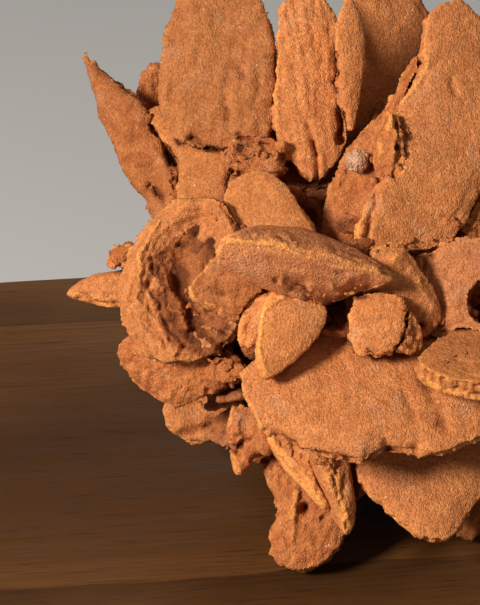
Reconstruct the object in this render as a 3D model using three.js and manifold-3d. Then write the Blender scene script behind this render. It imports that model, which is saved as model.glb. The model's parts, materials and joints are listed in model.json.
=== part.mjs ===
// A desert rose: a cluster of sandy gypsum blades with the gritty matrix they grew in,
// resting on a plain wooden slab. Millimetres, +Z up, origin under the middle of the slab.

import * as THREE from 'three';
import { mergeVertices } from 'three/addons/utils/BufferGeometryUtils.js';
import Module from 'manifold-3d';

const wasm = await Module();
wasm.setup();

// Driving dimensions
const SLAB_WIDTH = 280;
const SLAB_DEPTH = 236;
const SLAB_THICKNESS = 30;
const SLAB_CORNER = 5;
const SLAB_EASE = 2.5;
const HEART = new THREE.Vector3(0, -3, 80); // where the blades of the rose spread from
const REST_OFFSET = new THREE.Vector3(4, 14, 0); // from there to where the outer blades spread
const LEAN_BACK = 28; // degrees that the display face of the rose looks upwards
const FACE_TURN = -7; // degrees that it is turned towards -X
const GAP = 0.3; // clearance between pieces that touch
const BLADE_STEPS = 20; // about how many straight pieces a blade's rim has
const PEBBLE_RADII = [2.8, 2.5, 2.2];
const PEBBLE_PLACE = [-12, 31, 11.5]; // right, up and out from the heart, in the display face
const MATRIX_RADII = [38, 35, 32];
const MATRIX_PLACE = [-7, -6, -11]; // in the display face too
const BROAD_SWELL = 0.07; // how far the matrix's broad lumps rise, as a part of its radius
const SMALL_SWELL = 0.05; // the same for its small lumps
const OUTER_BULGE = 3.2; // how far the faces of the outer blades rise
const OUTER_RIM = 1; // half the thickness of their rims
const SHOULDER = 0.7; // how far out on a blade its face starts to fall to the rim
const SHOULDER_HEIGHT = 0.8; // height there, as a part of the height at the middle
const ROOT_SHOULDER_HEIGHT = 0.5; // the same on a back that runs deep into the cluster

const COLOURS = {
  sand: 0xc08052,
  ochre: 0xc58a55,
  rust: 0x9c5a34,
  rose: 0xb5765a,
  grit: 0x8a4f30,
  pebble: 0xb39a8c,
  wood: 0x7a5233,
};

/** Rim points of a blade: its corners and points between them on a smooth closed curve. */
function rimPoints(corners, growth) {
  const knots = corners.map(([x, y]) => new THREE.Vector3(x, y, 0));
  const curve = new THREE.CatmullRomCurve3(knots, true, 'centripetal');
  const steps = knots.length * Math.max(1, Math.round(BLADE_STEPS / knots.length));
  const rim = curve.getPoints(steps).slice(0, steps);
  rim.forEach((point) => point.setLength(point.length() + growth));
  const anticlockwise = rim[0].clone().cross(rim[1]).z > 0;
  return anticlockwise ? rim : rim.reverse();
}

/**
 * A blade in its own plane: a turned lens whose spokes reach to the rim points.
 * bulge: how far its face rises; rim: half the rim's thickness; root: how deep its back goes.
 */
function bladeGeometry({ outline, bulge, rim, root = bulge }, growth = 0) {
  const edge = rim + growth;
  const face = Math.max(edge, (bulge + growth) * SHOULDER_HEIGHT);
  const back = root > bulge ? ROOT_SHOULDER_HEIGHT : SHOULDER_HEIGHT;
  const profile = [
    new THREE.Vector2(0, -root - growth),
    new THREE.Vector2(SHOULDER, -Math.max(edge, (root + growth) * back)),
    new THREE.Vector2(1, -edge),
    new THREE.Vector2(1, edge),
    new THREE.Vector2(SHOULDER, face),
    new THREE.Vector2(0, bulge + growth),
  ];
  const rimLine = rimPoints(outline, growth);
  const geometry = new THREE.LatheGeometry(profile, rimLine.length);
  const place = geometry.getAttribute('position');
  for (let i = 0; i < place.count; i += 1) {
    const reach = Math.hypot(place.getX(i), place.getZ(i));
    const end = rimLine[Math.floor(i / profile.length) % rimLine.length];
    place.setXYZ(i, end.x * reach, end.y * reach, place.getY(i));
  }
  return weld(geometry);
}

/** Joins the shared corners of a closed geometry and keeps only its positions. */
function weld(geometry) {
  geometry.deleteAttribute('normal');
  geometry.deleteAttribute('uv');
  const welded = mergeVertices(geometry, 1e-4);
  const place = welded.getAttribute('position').array;
  const kept = [];
  for (let i = 0; i < welded.index.count; i += 3) {
    const [a, b, c] = [0, 1, 2].map((k) => welded.index.getX(i + k));
    if (a !== b && b !== c && a !== c) kept.push(a, b, c);
  }
  const result = new THREE.BufferGeometry();
  result.setAttribute('position', new THREE.BufferAttribute(place, 3));
  result.setIndex(kept);
  return result;
}

/** The manifold solid of a welded geometry, moved into the part's frame. */
function solidOf(geometry, matrix) {
  const moved = geometry.clone().applyMatrix4(matrix);
  return new wasm.Manifold(
    new wasm.Mesh({
      numProp: 3,
      vertProperties: new Float32Array(moved.getAttribute('position').array),
      triVerts: new Uint32Array(moved.index.array),
    }),
  );
}

/** The geometry of a solid, moved back into the frame of the mesh that shows it. */
function geometryOf(solid, matrix) {
  const mesh = solid.getMesh();
  const geometry = new THREE.BufferGeometry();
  geometry.setAttribute('position', new THREE.BufferAttribute(mesh.vertProperties, 3));
  geometry.setIndex(new THREE.BufferAttribute(mesh.triVerts, 1));
  return geometry.applyMatrix4(matrix.clone().invert());
}

function largestPiece(solid) {
  return solid.decompose().reduce((best, piece) => (piece.volume() > best.volume() ? piece : best));
}

function material(colour, roughness = 0.92) {
  return new THREE.MeshStandardMaterial({ color: COLOURS[colour], roughness, metalness: 0 });
}

/**
 * A blade of the display face. at: millimetres right, up and out from the heart;
 * turn: degrees its face looks to the right; tilt: degrees it looks up;
 * outline: corners in its own plane, from its middle.
 */
function faceBlade(name, at, turn, tilt, outline, extra = {}) {
  return { name, at, turn, tilt, outline, ...extra };
}

const DISPLAY_BLADES = [
  faceBlade('front_lens_blade', [-24, 8, 33], 0, -38,
    [[-18, -2], [-18, 3], [-14, 5], [-2, 5], [10, 3], [19, 0], [13, -4], [6, -9], [-3, -8],
      [-12, -5]],
    { roll: -10, bulge: 2.8, rim: 1.1, root: 13, colour: 'rose' }),
  faceBlade('standing_plate', [-27, -6, 29], 12, 4,
    [[1, 11], [-3, 9], [-6, 4], [-7, -2], [-7, -8], [-5, -10], [1, -6], [6, -1], [8, 4], [5, 10]],
    { bulge: 1.8, rim: 1, root: 9, colour: 'ochre' }),
  faceBlade('thin_strip_blade', [-35, -4, 25], -20, 0,
    [[2, 6], [4, 4], [2, -2], [-1, -6], [-3, -4], [-2, 1]],
    { bulge: 1.3, rim: 0.6, root: 6, colour: 'sand' }),
  faceBlade('rounded_crystal', [-8, -4, 27], -10, 8,
    [[-6, 0], [-5, 5], [0, 6], [5, 5], [6, 0], [5, -4], [2, -7], [-3, -7], [-6, -4]],
    { bulge: 2.2, rim: 1.2, root: 8, colour: 'sand' }),
  faceBlade('inner_crescent_blade', [-2, -6, 27], 18, 0,
    [[-1, 5], [1, 4], [3, 0], [3, -4], [0, -5], [-3, -4], [-3, 2]],
    { bulge: 1.5, rim: 0.7, root: 7, colour: 'sand' }),
  faceBlade('wide_fan_plate', [-12, -20, 26], 0, 34,
    [[-25, 6], [-25, 1], [-21, -8], [-12, -13], [-5, -15], [0, -16], [5, -13],
      [17, -14], [26, -10], [30, 1], [24, 12], [8, 21], [-8, 21], [-19, 12]],
    { bulge: 3, rim: 0.9, root: 7, colour: 'sand' }),
  faceBlade('right_thick_blade', [11, -14, 30], 8, 58,
    [[-11, 0], [-7, 7], [3, 14], [14, 14], [20, 0], [13, -9], [2, -9], [-7, -6]],
    { bulge: 3, rim: 2, root: 4, colour: 'ochre' }),
  faceBlade('outer_crescent_blade', [-2, 3, 23], 12, -4,
    [[-9, 5], [-6, 9], [-1, 9], [3, 4], [6, 0], [8, -6], [5, -10], [-1, -11], [-8, -7], [-10, -1]],
    { bulge: 2.4, rim: 1.2, root: 9, colour: 'sand' }),
  faceBlade('left_rosette_blade', [-51, 1, 13], -26, 2,
    [[-14, 5], [-10, 13], [-4, 19], [5, 22], [12, 20], [16, 10], [16, -4], [10, -12], [-2, -14],
      [-11, -9], [-14, -2]],
    { bulge: 3.2, rim: 1.3, root: 14, colour: 'sand' }),
  faceBlade('shaded_plate', [-41, 3, 23], -18, -5,
    [[0, 8], [-4, 5], [-8, -1], [-5, -4], [4, -7], [8, -4], [9, 2], [5, 7]],
    { bulge: 2, rim: 0.8, root: 9, colour: 'rust' }),
  faceBlade('upper_round_blade', [-32, 19, 15], -8, 14,
    [[-9, 2], [-8, 7], [-1, 10], [4, 7], [8, 1], [11, -5], [7, -11], [-3, -11], [-9, -5]],
    { bulge: 2.2, rim: 0.9, root: 10, colour: 'ochre' }),
  faceBlade('ridge_blade', [-5, 33, 14], -58, 2,
    [[-2, 8], [2, 8], [4, 1], [3, -6], [-1, -9], [-4, -3]],
    { bulge: 2, rim: 1, colour: 'rust' }),
  faceBlade('great_upper_plate', [4, 35, 11], 10, 14,
    [[-1, 17], [-6, 9], [-9, 2], [-10, -6], [-15, -14], [-18, -24], [-6, -25], [3, -23],
      [10, -12], [18, 2], [18, 20], [9, 33], [1, 29]],
    { bulge: 3.6, rim: 1.6, root: 9, colour: 'sand' }),
  faceBlade('left_fringe_blade', [-52, -15, 6], -18, -16,
    [[-13, 4], [-11, -1], [-6, -6], [0, -8], [6, -6], [13, -2], [14, 5], [2, 9], [-11, 8]],
    { bulge: 2.6, rim: 1, root: 13, colour: 'rust' }),
  faceBlade('left_point_blade', [-67, 3, 2], -10, 4,
    [[-9, -1], [-5, 2], [1, 4], [9, 4], [12, -1], [5, -4], [-4, -3]],
    { bulge: 2.4, rim: 0.5, root: 4, colour: 'sand' }),
  faceBlade('left_knob_crystal', [-64, 10, 4], -20, 10,
    [[-3, 1], [-1, 3], [3, 3], [6, 0], [2, -3], [-2, -2]],
    { bulge: 2.2, rim: 1, root: 5, colour: 'rust' }),
  faceBlade('lower_right_plate', [1, -40, 17], 5, 24,
    [[-14, 6], [-12, 0], [-8, -4], [-1, -11], [6, -12], [10, -7], [14, -2], [18, 5], [13, 17],
      [-2, 20], [-12, 15]],
    { bulge: 2.8, rim: 0.9, root: 7, colour: 'sand' }),
  faceBlade('right_dagger_blade', [-17, -39, 20], 30, 8,
    [[-5, 9], [2, 9], [4, 0], [4, -7], [2, -11], [0, -6], [-3, 1]],
    { bulge: 1.8, rim: 0.5, root: 7, colour: 'sand' }),
  faceBlade('left_dagger_blade', [-24, -37, 15], -24, 8,
    [[-9, 10], [-3, 10], [6, 2], [8, -4], [6, -8], [1, -4], [-5, 2]],
    { bulge: 2, rim: 0.5, root: 8, colour: 'ochre' }),
  faceBlade('hanging_point_blade', [-36, -31, 9], -18, 6,
    [[-3, 8], [-4, 0], [-2, -7], [1, -4], [5, -2], [5, 4], [1, 8]],
    { bulge: 1.8, rim: 0.5, root: 9, colour: 'rust' }),
  faceBlade('lower_left_plate', [-25, -45, 6], -10, 12,
    [[-8, 10], [-3, 13], [6, 11], [12, 1], [10, -9], [3, -14], [-4, -13], [-6, -6], [-4, -1], [-6, 4]],
    { bulge: 2.6, rim: 0.9, root: 9, colour: 'rust' }),
  faceBlade('right_pocket_plate', [9, 1, 19], -8, 4,
    [[-9, 1], [-9, 8], [-4, 12], [6, 13], [15, 10], [19, 2], [16, -8], [7, -12], [-3, -11],
      [-8, -5]],
    { bulge: 2.4, rim: 1, root: 8, colour: 'rose' }),
  faceBlade('right_knob_crystal', [12, 17, 11], 10, 6,
    [[-4, 4], [1, 5], [5, 3], [5, -3], [1, -5], [-4, -3]],
    { bulge: 2.8, rim: 1.4, root: 8, colour: 'rust' }),
  faceBlade('pointed_tongue_blade', [-13, 49, 4], 14, 4,
    [[-3, 4], [-3, -4], [0, -11], [2, -5], [3, 4], [3, 13], [0, 19], [-3, 13]],
    { bulge: 1.4, rim: 0.6, root: 6, colour: 'sand' }),
  faceBlade('upper_column_blade', [-22, 45, -1], 6, 10,
    [[-7, 8], [-8, -6], [-5, -13], [0, -18], [5, -15], [8, -9], [8, 4], [7, 18], [0, 27], [-6, 21]],
    { bulge: 2.4, rim: 1, root: 12, colour: 'sand' }),
  faceBlade('rough_ledge_crystal', [-34, 32, 4], 0, 20,
    [[-7, 1], [-5, 4], [2, 4], [7, 2], [6, -3], [0, -4], [-6, -3]],
    { bulge: 3, rim: 1.4, root: 11, colour: 'rust' }),
  faceBlade('shoulder_plate', [-48, 33, -5], -10, 24,
    [[-12, 11], [-6, 13], [7, 9], [11, 1], [10, -10], [3, -16], [-3, -14], [-3, -3], [-9, 6]],
    { bulge: 2.2, rim: 0.9, root: 6, colour: 'ochre' }),
  faceBlade('broad_upper_plate', [-43, 47, -5], -8, 8,
    [[-13, 7], [-13, -2], [-11, -8], [-5, -13], [4, -14], [12, -14], [13, -5], [14, 6],
      [11, 21], [2, 29], [-9, 24]],
    { bulge: 2.6, rim: 1, root: 5, colour: 'sand' }),
  faceBlade('upper_left_spear', [-62, 38, -12], -30, 2,
    [[-14, 20], [-11, 11], [-7, 1], [-1, -9], [6, -18], [9, -26], [19, -24], [14, -10],
      [9, -2], [2, 8], [-6, 14]],
    { bulge: 2.6, rim: 0.6, root: 5, colour: 'rust' }),
  faceBlade('shadowed_back_plate', [-7, 32, 7], -18, 14,
    [[7, 23], [3, 14], [-6, 3], [-11, -9], [-11, -19], [0, -21], [9, -10], [13, 4], [12, 20]],
    { bulge: 2.2, rim: 0.9, root: 8, colour: 'rust' }),
  faceBlade('small_back_blade', [-58, 49, -24], 10, 4,
    [[-4, -2], [-3, 4], [1, 7], [5, 6], [8, 0], [13, -30], [5, -30], [-2, -12]],
    { bulge: 1.8, rim: 0.7, root: 4, colour: 'rust' }),
  faceBlade('far_left_plate', [-46, -27, -27], 6, 22,
    [[-9, 4], [-9, -2], [-3, -6], [6, -5], [16, 0], [18, 9], [-2, 11]],
    { bulge: 2.2, rim: 0.9, root: 6, colour: 'sand' }),
  faceBlade('crevice_crystal', [-41, -15, 14], -10, 10,
    [[-4, 0], [-2, 3], [3, 2], [5, -1], [1, -3], [-3, -2]],
    { bulge: 2, rim: 1, root: 8, colour: 'rust' }),
];

/**
 * A blade of the sides, back, top and foot, which grows straight out of the heart.
 * azimuth: degrees round from -Y towards +X; rise: degrees above level; middle: distance
 * of its centre from the heart; spin: 0 lies like a shelf, 90 stands on edge.
 */
function outerBlade(name, azimuth, rise, middle, halfWidth, halfLength, spin, colour) {
  return { name, azimuth, rise, middle, halfWidth, halfLength, spin, colour };
}

const OUTER_BLADES = [
  outerBlade('crown_blade', 186, 56, 42, 18, 25, 10, 'sand'),
  outerBlade('crown_right_blade', 112, 56, 44, 15, 25, 66, 'ochre'),
  outerBlade('back_upper_left_blade', 214, 36, 42, 19, 23, 16, 'sand'),
  outerBlade('back_upper_right_blade', 150, 30, 44, 21, 24, 22, 'rose'),
  outerBlade('back_middle_blade', 190, 8, 42, 22, 25, 76, 'sand'),
  outerBlade('right_upper_blade', 78, 30, 42, 19, 25, 30, 'sand'),
  outerBlade('right_side_blade', 62, 2, 44, 20, 25, 62, 'rose'),
  outerBlade('right_back_blade', 116, 4, 46, 21, 24, 14, 'ochre'),
  outerBlade('left_back_blade', 240, 12, 42, 17, 23, 58, 'sand'),
  outerBlade('left_side_blade', 252, -16, 38, 16, 21, 20, 'rust'),
  outerBlade('back_left_low_blade', 222, -22, 40, 20, 23, 50, 'rose'),
  outerBlade('back_low_blade', 168, -24, 42, 21, 24, 8, 'sand'),
  outerBlade('right_low_blade', 98, -26, 42, 19, 24, 42, 'sand'),
  outerBlade('right_front_blade', 44, -22, 44, 17, 23, 20, 'ochre'),
  outerBlade('left_flank_upper_blade', 258, 4, 40, 14, 18, 74, 'rose'),
  outerBlade('left_flank_lower_blade', 268, -30, 36, 15, 18, 30, 'sand'),
  outerBlade('back_left_blade', 212, -6, 44, 17, 22, 30, 'ochre'),
  outerBlade('right_inner_blade', 52, 20, 46, 15, 20, 12, 'rust'),
  outerBlade('foot_left_front_blade', 318, -58, 36, 17, 20, 40, 'sand'),
  outerBlade('foot_front_blade', 12, -52, 38, 18, 24, 64, 'rust'),
  outerBlade('foot_left_blade', 250, -52, 36, 19, 24, 34, 'rust'),
  outerBlade('foot_right_blade', 66, -52, 38, 20, 24, 70, 'sand'),
  outerBlade('foot_back_blade', 178, -52, 38, 21, 24, 46, 'rust'),
];

/** A plain blade outline: an oval with three shallow lobes, widest towards its outer end. */
function lobedOutline(halfWidth, halfLength, phase) {
  const corners = 9;
  return Array.from({ length: corners }, (_, k) => {
    const angle = (2 * Math.PI * k) / corners;
    const reach = 1 + 0.1 * Math.cos(3 * angle + phase) + 0.07 * Math.cos(4 * angle - 2 * phase);
    return [halfWidth * reach * Math.cos(angle), halfLength * reach * Math.sin(angle)];
  });
}

const radians = THREE.MathUtils.degToRad;

function placeFaceBlade(blade) {
  const mesh = new THREE.Mesh(bladeGeometry(blade), material(blade.colour));
  mesh.name = blade.name;
  mesh.position.set(...blade.at);
  mesh.rotation.set(-radians(blade.tilt), radians(blade.turn), radians(blade.roll ?? 0), 'YXZ');
  mesh.userData.grown = bladeGeometry(blade, GAP);
  return mesh;
}

function placeOuterBlade(blade, index) {
  const outline = lobedOutline(blade.halfWidth, blade.halfLength, index);
  const shape = { outline, bulge: OUTER_BULGE, rim: OUTER_RIM };
  const mesh = new THREE.Mesh(bladeGeometry(shape), material(blade.colour));
  const level = Math.cos(radians(blade.rise)) * blade.middle;
  const round = radians(blade.azimuth);
  mesh.name = blade.name;
  mesh.position.set(
    level * Math.sin(round),
    -level * Math.cos(round),
    blade.middle * Math.sin(radians(blade.rise)),
  );
  mesh.rotation.set(radians(180 - blade.rise), radians(blade.spin), round, 'ZXY');
  mesh.userData.grown = bladeGeometry(shape, GAP);
  return mesh;
}

/** The gritty mass between the blades: a lumpy ball, drawn out sideways. */
function buildMatrix() {
  const [across, up, out] = MATRIX_RADII;
  const ball = weld(new THREE.IcosahedronGeometry(1, 3));
  const place = ball.getAttribute('position');
  const point = new THREE.Vector3();
  for (let i = 0; i < place.count; i += 1) {
    point.fromBufferAttribute(place, i);
    const broadLumps = Math.sin(5 * point.x + 1) * Math.sin(4 * point.y);
    const smallLumps = Math.sin(7 * point.z);
    point.multiplyScalar(1 + BROAD_SWELL * broadLumps + SMALL_SWELL * smallLumps);
    place.setXYZ(i, point.x * across, point.y * up, point.z * out);
  }
  const mesh = new THREE.Mesh(ball, material('grit', 0.97));
  mesh.name = 'gritty_matrix';
  mesh.position.set(...MATRIX_PLACE);
  return mesh;
}

function pebbleGeometry(growth = 0) {
  const geometry = weld(new THREE.SphereGeometry(1, 12, 8));
  const [across, up, out] = PEBBLE_RADII.map((radius) => radius + growth);
  return geometry.scale(across, up, out);
}

/** Natural pockets, as ovals: millimetres right, up and out from the heart, and their radii. */
const HOLLOWS = [
  { at: [-20, 20, 12], radii: [9, 11, 18] },
  { at: [-15, -2, 21], radii: [4, 5, 12] },
  { at: [15, 0, 19], radii: [4, 5, 9] },
];
const HOLLOWED = ['right_pocket_plate', 'gritty_matrix'];

function hollowSolids(group) {
  return HOLLOWS.map(({ at, radii }) => {
    const oval = weld(new THREE.SphereGeometry(1, 9, 6)).scale(...radii);
    return solidOf(oval.translate(...at), group.matrixWorld);
  });
}

/** The rounded foreign pebble caught beside the great plate. */
function buildPebble() {
  const mesh = new THREE.Mesh(pebbleGeometry(), material('pebble', 0.7));
  mesh.userData.grown = pebbleGeometry(GAP);
  mesh.name = 'caught_pebble';
  mesh.position.set(...PEBBLE_PLACE);
  return mesh;
}

/** The wooden slab, its long edges and corners eased. */
function buildSlab() {
  const across = SLAB_WIDTH / 2 - SLAB_EASE;
  const deep = SLAB_DEPTH / 2 - SLAB_EASE;
  const corner = SLAB_CORNER;
  const outline = new THREE.Shape();
  outline.moveTo(-across + corner, -deep);
  outline.lineTo(across - corner, -deep);
  outline.absarc(across - corner, -deep + corner, corner, -Math.PI / 2, 0);
  outline.absarc(across - corner, deep - corner, corner, 0, Math.PI / 2);
  outline.absarc(-across + corner, deep - corner, corner, Math.PI / 2, Math.PI);
  outline.absarc(-across + corner, -deep + corner, corner, Math.PI, 1.5 * Math.PI);
  const geometry = new THREE.ExtrudeGeometry(outline, {
    depth: SLAB_THICKNESS - 2 * SLAB_EASE,
    bevelThickness: SLAB_EASE,
    bevelSize: SLAB_EASE,
    bevelSegments: 2,
    curveSegments: 4,
  });
  const mesh = new THREE.Mesh(weld(geometry), material('wood', 0.7));
  mesh.name = 'wooden_slab';
  mesh.position.z = SLAB_EASE;
  return mesh;
}

/** A block over the slab's whole top, one gap higher, that levels whatever rests there. */
function restingBlock() {
  const block = new THREE.BoxGeometry(2 * SLAB_WIDTH, 2 * SLAB_DEPTH, SLAB_THICKNESS);
  const raised = new THREE.Matrix4().makeTranslation(0, 0, SLAB_THICKNESS / 2 + GAP);
  return solidOf(weld(block), raised);
}

/** Cuts each piece with the pieces before it, each grown by the gap. */
function fitTogether(meshes, hollows) {
  const keepOut = [restingBlock()];
  for (const mesh of meshes) {
    const { grown } = mesh.userData;
    const cutters = HOLLOWED.includes(mesh.name) ? [...keepOut, ...hollows] : keepOut;
    let solid = solidOf(mesh.geometry, mesh.matrixWorld);
    const before = solid.volume();
    for (const cutter of cutters) solid = solid.subtract(cutter);
    if (solid.volume() < before - 1e-3) {
      solid = largestPiece(solid);
      mesh.geometry = geometryOf(solid, mesh.matrixWorld);
    }
    if (grown) keepOut.push(solidOf(grown, mesh.matrixWorld));
    mesh.userData = {};
  }
}

const rose = new THREE.Group();
rose.position.copy(HEART);

const displayFace = new THREE.Group();
displayFace.rotation.set(radians(90 - LEAN_BACK), 0, radians(FACE_TURN), 'ZXY');

const desertRose = new THREE.Group();
desertRose.add(rose, buildSlab());

const pebble = buildPebble();
const matrix = buildMatrix();
const faceMeshes = DISPLAY_BLADES.map(placeFaceBlade);
const outerMeshes = OUTER_BLADES.map(placeOuterBlade);
const restOfRose = new THREE.Group();
restOfRose.position.copy(REST_OFFSET);
restOfRose.add(...outerMeshes);
displayFace.add(pebble, matrix, ...faceMeshes);
rose.add(displayFace, restOfRose);
desertRose.updateMatrixWorld(true);
fitTogether([pebble, ...faceMeshes, ...outerMeshes, matrix], hollowSolids(displayFace));

export default desertRose;
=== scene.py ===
"""A desert rose on a wooden slab: the sandy, layered surface of each crystal blade, the gritty
matrix and crumbs between them, and the worn board that they rest on. Metres, +Z up."""

import json
import math
import random

import bpy
import numpy as np
from mathutils import Matrix, Vector, noise
from mathutils.bvhtree import BVHTree
from mathutils.kdtree import KDTree


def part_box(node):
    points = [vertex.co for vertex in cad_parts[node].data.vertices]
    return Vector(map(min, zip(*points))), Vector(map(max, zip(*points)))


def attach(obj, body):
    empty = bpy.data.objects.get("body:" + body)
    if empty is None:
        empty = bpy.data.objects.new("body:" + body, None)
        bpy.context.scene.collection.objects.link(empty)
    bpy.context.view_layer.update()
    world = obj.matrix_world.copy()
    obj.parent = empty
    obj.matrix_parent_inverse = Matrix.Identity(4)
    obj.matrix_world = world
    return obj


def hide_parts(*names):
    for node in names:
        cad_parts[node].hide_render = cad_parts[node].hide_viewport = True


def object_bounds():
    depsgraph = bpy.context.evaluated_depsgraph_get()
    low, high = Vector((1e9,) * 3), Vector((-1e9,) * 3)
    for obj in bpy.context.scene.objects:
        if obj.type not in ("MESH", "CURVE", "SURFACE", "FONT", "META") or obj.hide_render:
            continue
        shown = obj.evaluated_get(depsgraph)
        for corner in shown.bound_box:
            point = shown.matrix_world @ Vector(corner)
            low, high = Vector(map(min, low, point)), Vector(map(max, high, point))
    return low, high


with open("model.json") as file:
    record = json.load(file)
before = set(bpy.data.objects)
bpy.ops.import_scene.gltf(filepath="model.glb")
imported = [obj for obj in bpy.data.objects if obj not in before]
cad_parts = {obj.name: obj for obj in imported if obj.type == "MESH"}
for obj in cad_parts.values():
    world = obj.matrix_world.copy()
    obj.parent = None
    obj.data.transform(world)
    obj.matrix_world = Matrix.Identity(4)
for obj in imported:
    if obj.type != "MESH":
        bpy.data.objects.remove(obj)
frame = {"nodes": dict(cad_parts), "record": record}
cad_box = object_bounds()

MM = 0.001
SLOT_OF = {part["node"]: part["material_slot"] for part in frame["record"]["subparts"]}
STONE_SLOTS = ("sandy_crystal", "ochre_crystal", "rust_crystal", "rose_crystal")
BLADES = [name for name in SLOT_OF if SLOT_OF[name] in STONE_SLOTS]

# The slab, the rose's heart above it, and the way that the rose's face looks
SLAB_LOW, SLAB_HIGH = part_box("wooden_slab")
HEART = Vector((0, -3 * MM, SLAB_HIGH[2] + 50 * MM))
LEAN_BACK = math.radians(28)
FACE_TURN = math.radians(-7)
FACE_RIGHT = Vector((math.cos(FACE_TURN), math.sin(FACE_TURN), 0))
FACE_OUT = Vector((
    math.cos(LEAN_BACK) * math.sin(FACE_TURN),
    -math.cos(LEAN_BACK) * math.cos(FACE_TURN),
    math.sin(LEAN_BACK),
))
FACE_UP = FACE_OUT.cross(FACE_RIGHT)

# The camera looks straight at the rose's leaning face
LOOK_AT = HEART - 37.5 * MM * FACE_RIGHT + 38 * MM * FACE_OUT
VIEW_DISTANCE = 500 * MM
CAMERA_PLACE = LOOK_AT + VIEW_DISTANCE * FACE_OUT
VIEW_HEIGHT = 125.84 * MM
SENSOR = 36

FACE_VOXEL = 0.42 * MM
OUTER_VOXEL = 0.7 * MM
MATRIX_VOXEL = 0.8 * MM
CRUST_VOXEL = 1.0 * MM
CRUMB_VOXEL = 0.42 * MM
WOOD_VOXEL = 1.6 * MM
GAP_FILL = 0.32 * MM  # how far each blade swells to close the gaps between the solids


# ------------------------------------------------------------ working with pieces


def select_only(piece):
    bpy.ops.object.select_all(action="DESELECT")
    piece.select_set(True)
    bpy.context.view_layer.objects.active = piece


def apply_modifier(piece, kind, **settings):
    modifier = piece.modifiers.new(kind.lower(), kind)
    for name, value in settings.items():
        setattr(modifier, name, value)
    select_only(piece)
    bpy.ops.object.modifier_apply(modifier=modifier.name)


def remesh(piece, voxel):
    size = voxel * 1
    apply_modifier(piece, "REMESH", mode="VOXEL", voxel_size=size)


def displace(piece, texture, depth, group="", along=None, middle=0.5):
    """Moves the surface in and out by a texture, where the vertex group says so."""
    settings = {"texture": texture, "strength": depth, "mid_level": middle, "vertex_group": group}
    settings["texture_coords"] = "OBJECT" if along else "LOCAL"
    if along:
        settings["texture_coords_object"] = along
    apply_modifier(piece, "DISPLACE", **settings)


def copy_node(node, name):
    """A copy of a CAD node with its loose triangles merged."""
    piece = bpy.data.objects.new(name, frame["nodes"][node].data.copy())
    bpy.context.scene.collection.objects.link(piece)
    piece.data.materials.clear()
    select_only(piece)
    bpy.ops.object.mode_set(mode="EDIT")
    bpy.ops.mesh.select_all(action="SELECT")
    bpy.ops.mesh.remove_doubles(threshold=0.001 * MM)
    bpy.ops.object.mode_set(mode="OBJECT")
    return piece


def points_of(piece):
    points = np.empty(len(piece.data.vertices) * 3, np.float32)
    piece.data.vertices.foreach_get("co", points)
    return points.reshape(-1, 3).astype(float)


def normals_of(piece):
    normals = np.empty(len(piece.data.vertices) * 3, np.float32)
    piece.data.vertex_normals.foreach_get("vector", normals)
    return normals.reshape(-1, 3).astype(float)


def set_points(piece, points):
    piece.data.vertices.foreach_set("co", points.astype(np.float32).ravel())
    piece.data.update()


def paint(piece, name, values):
    """Stores one number for each vertex, for the materials to read."""
    layer = piece.data.attributes.get(name) or piece.data.attributes.new(name, "FLOAT", "POINT")
    layer.data.foreach_set("value", np.asarray(values, np.float32))


def paint_plain(piece, *names):
    """Paints 0 under each name given, and 1 for the blade's own colour and painted light."""
    for name in names:
        paint(piece, name, np.zeros(len(piece.data.vertices)))
    paint(piece, "tone_and_painted_light", np.ones(len(piece.data.vertices)))


def weigh(piece, name, weights):
    """Makes a vertex group with one weight for each vertex."""
    group = piece.vertex_groups.new(name=name)
    for index, weight in enumerate(weights.tolist()):
        if weight > 0.01:
            group.add([index], weight, "REPLACE")


def finish_piece(piece, node, material):
    """Keeps a piece inside the frame's box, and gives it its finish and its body."""
    low, high = (np.array(corner) for corner in cad_box)
    set_points(piece, np.clip(points_of(piece), low, high))
    select_only(piece)
    bpy.ops.object.shade_smooth()
    piece.data.materials.append(material)
    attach(piece, "root")
    if node:
        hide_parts(node)


def ramp(values, low, high):
    """0 below low, 1 above high, and smooth between them."""
    part = np.clip((values - low) / (high - low), 0, 1)
    return part * part * (3 - 2 * part)


def field(points, size, offset=0.0):
    """A smooth random field over points, with lumps about size across."""
    shift = Vector((offset, 0.37 * offset, -0.61 * offset))
    return np.array([noise.noise(Vector(point) / size + shift) for point in points])


# ------------------------------------------------------------ textures that shape the stone


def clouds(name, size, depth=1, contrast=1.0, kind="SOFT_NOISE"):
    texture = bpy.data.textures.new(name, "CLOUDS")
    texture.noise_type = kind
    texture.noise_scale = size
    texture.noise_depth = depth
    texture.contrast = contrast
    return texture


def cells(name, size, border, edge):
    """White, but black at the middle of each cell, or along the cells' borders."""
    texture = bpy.data.textures.new(name, "VORONOI")
    texture.noise_scale = size
    texture.weight_1 = -1 if border else 1
    texture.weight_2 = 1 if border else 0
    texture.use_color_ramp = True
    texture.color_ramp.elements[0].color = (0, 0, 0, 1)
    texture.color_ramp.elements[1].color = (1, 1, 1, 1)
    texture.color_ramp.elements[1].position = edge
    return texture


SWELL = clouds("slow_swell", 15 * MM, 1, 1.6)
LUMPS = clouds("sand_lumps", 3.4 * MM, 3, 1.5)
GRAINS = clouds("cemented_grains", 1.3 * MM, 1, 1.6)
CHIPS = clouds("rim_chips", 3.6 * MM, 2, 1.8, "HARD_NOISE")
LAYERS = clouds("edge_layers", 1, 1, 2.2)
FLUTES = clouds("flutes", 1, 2, 1.8)
PITS = cells("pits", 2.6 * MM, False, 0.32)
CRACKS = cells("cracks", 9 * MM, True, 0.05)

# A bare axis cross that is laid along each blade, so that patterns can follow the blade
blade_cross = bpy.data.objects.new("blade_cross", None)
bpy.context.scene.collection.objects.link(blade_cross)


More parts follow.
